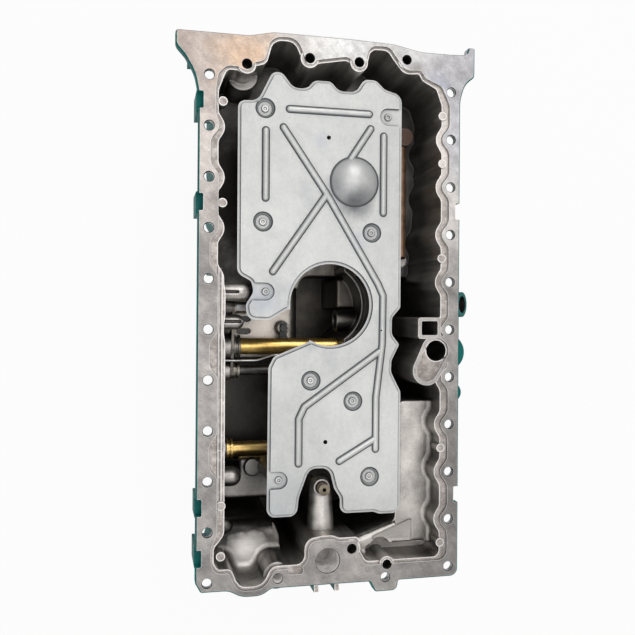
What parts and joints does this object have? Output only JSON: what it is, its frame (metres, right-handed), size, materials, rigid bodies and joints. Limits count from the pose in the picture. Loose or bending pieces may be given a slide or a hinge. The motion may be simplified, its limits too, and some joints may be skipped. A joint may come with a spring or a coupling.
{
  "type": "engine oil pan",
  "caption": "Cast engine oil pan with a machined bolt flange, scalloped walls, deep sump, shelf and corner pocket, with a pressed baffle plate, oil pipes and a tapered oil tube.",
  "frame": {"origin": "centre of the flange bolt pattern on the machined sealing face", "axes": "+Z out of the pan towards the engine block, +Y towards the winged end, +X towards the side with the bored lug"},
  "size_m": [0.3157, 0.5702, 0.176],
  "materials": {
    "cast_aluminium": "sand-blasted casting with machined sealing face",
    "zinc_steel": "pale bluish zinc sheet",
    "rivet_steel": "bright rivet heads",
    "yellow_steel": "yellow chromated tube",
    "bright_steel": "plain steel",
    "seal_rubber": "black seal",
    "black_steel": "black oxide",
    "brown_steel": "oil-stained tube",
    "brass": "dull brass",
    "copper": "soft copper"
  },
  "bodies": {
    "root": {"pan_casting": "cast_aluminium", "baffle_plate": "zinc_steel", "baffle_rivets": "rivet_steel", "lug_rivets": "rivet_steel", "feed_pipe": "yellow_steel", "feed_collar": "bright_steel", "feed_seal": "seal_rubber", "drain_pipe": "bright_steel", "drain_collar": "bright_steel", "drain_seal": "seal_rubber", "suction_pipe": "yellow_steel", "suction_collar": "bright_steel", "suction_seal": "seal_rubber", "pipe_flange": "bright_steel", "flange_bolts": "bright_steel", "vent_tube": "bright_steel", "pipe_clip": "black_steel", "clip_bolt": "black_steel", "side_pipe": "brown_steel", "pickup_body": "zinc_steel", "pickup_screen": "bright_steel", "nipple": "brass", "drain_plug": "bright_steel", "drain_washer": "copper"}
  },
  "joints": []
}
